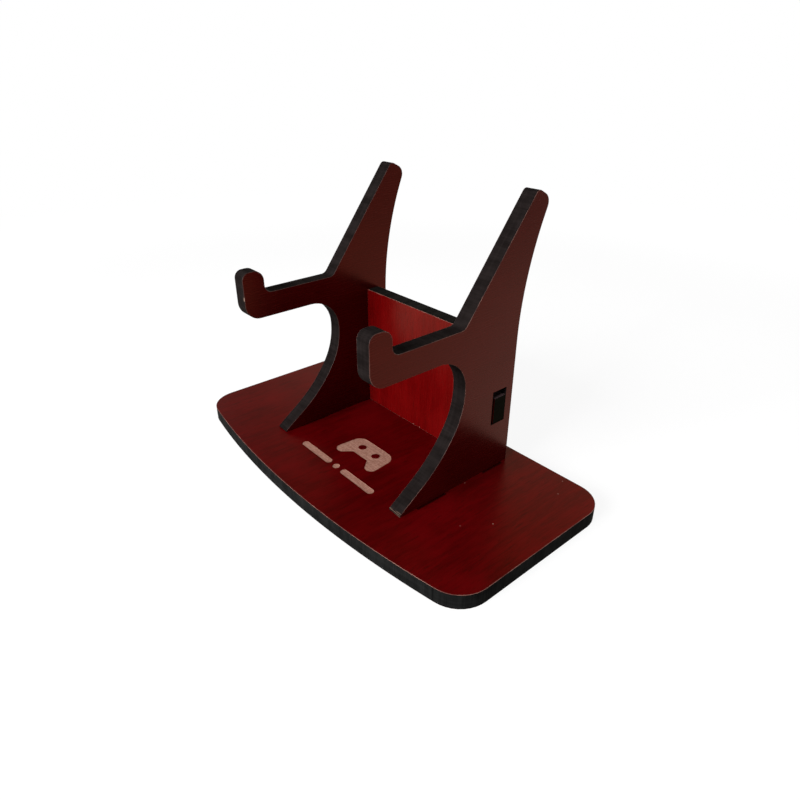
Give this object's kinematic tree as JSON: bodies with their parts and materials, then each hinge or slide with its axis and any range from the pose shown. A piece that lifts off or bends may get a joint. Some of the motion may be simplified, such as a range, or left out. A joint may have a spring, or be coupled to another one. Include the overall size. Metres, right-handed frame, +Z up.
{
  "type": "game controller stand",
  "caption": "Slot-together board stand: hooked brackets on a bowed base plate, tied by a cross panel, cradle a game controller.",
  "frame": {"origin": "on the underside of the base plate, midway between its sides and between its front and back edges", "axes": "+X to the stand's right as seen from the front, +Y from the front towards the back, +Z up"},
  "size_m": [0.165, 0.0851, 0.1098],
  "materials": {
    "base_board": "satin red mahogany face on thin board, with charred laser-cut edges",
    "bracket_board": "satin red mahogany face on thin board, with charred laser-cut edges",
    "panel_board": "satin red mahogany face on thin board, with charred laser-cut edges"
  },
  "bodies": {
    "root": {"base_plate": "base_board", "left_bracket": "bracket_board", "right_bracket": "bracket_board", "cross_panel": "panel_board"}
  },
  "joints": []
}
